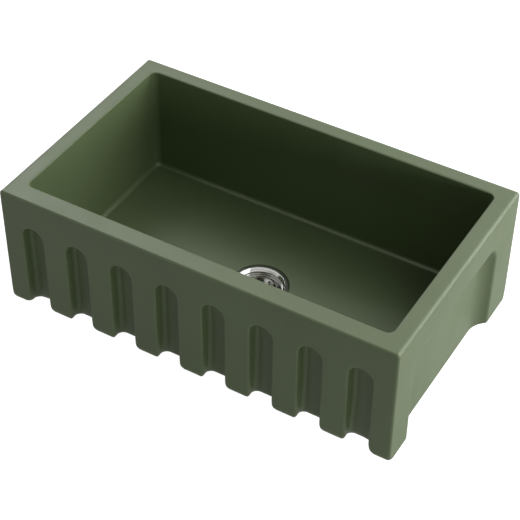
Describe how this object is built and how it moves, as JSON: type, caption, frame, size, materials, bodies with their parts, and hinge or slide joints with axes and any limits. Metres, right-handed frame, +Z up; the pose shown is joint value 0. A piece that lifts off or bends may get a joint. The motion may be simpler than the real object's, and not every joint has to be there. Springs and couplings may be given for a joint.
{
  "type": "apron front kitchen sink",
  "caption": "Single bowl kitchen sink in glazed fireclay with a fluted apron front and a basket strainer drain.",
  "frame": {"origin": "centre of the basin's underside, on the plane that it stands on, which is also the drain's axis", "axes": "+Z up, +X to the right seen from the front, the fluted apron faces -Y"},
  "size_m": [0.762, 0.4572, 0.4111],
  "materials": {
    "glaze": "satin olive green glaze",
    "polished_steel": "polished stainless steel",
    "brushed_steel": "brushed stainless steel",
    "brass": "turned brass",
    "zinc": "die cast zinc, bare",
    "rubber": "matt black rubber",
    "fibre": "pressed fibre board",
    "putty": "plumber's putty"
  },
  "bodies": {
    "base": {"basin": "glaze", "flange_putty": "putty", "strainer_body": "polished_steel", "guide_spider": "brushed_steel", "sink_gasket": "rubber", "friction_ring": "fibre", "lock_nut": "zinc", "tail_washer": "rubber", "tailpiece": "polished_steel", "coupling_nut": "brass"},
    "basket": {"basket_cup": "brushed_steel", "basket_bush": "brass"},
    "stopper": {"stem": "brushed_steel", "knob": "polished_steel", "seal_plate": "brushed_steel", "stopper_seal": "rubber", "guide_pin": "brass", "spring_clip": "polished_steel"}
  },
  "joints": [
    {"name": "basket_lift", "type": "slide", "parent": "base", "child": "basket", "axis": [0, 0, 1], "range_m": [0, 0.32]},
    {"name": "stopper_pull", "type": "slide", "parent": "basket", "child": "stopper", "axis": [0, 0, 1], "range_m": [0, 0.009]}
  ]
}
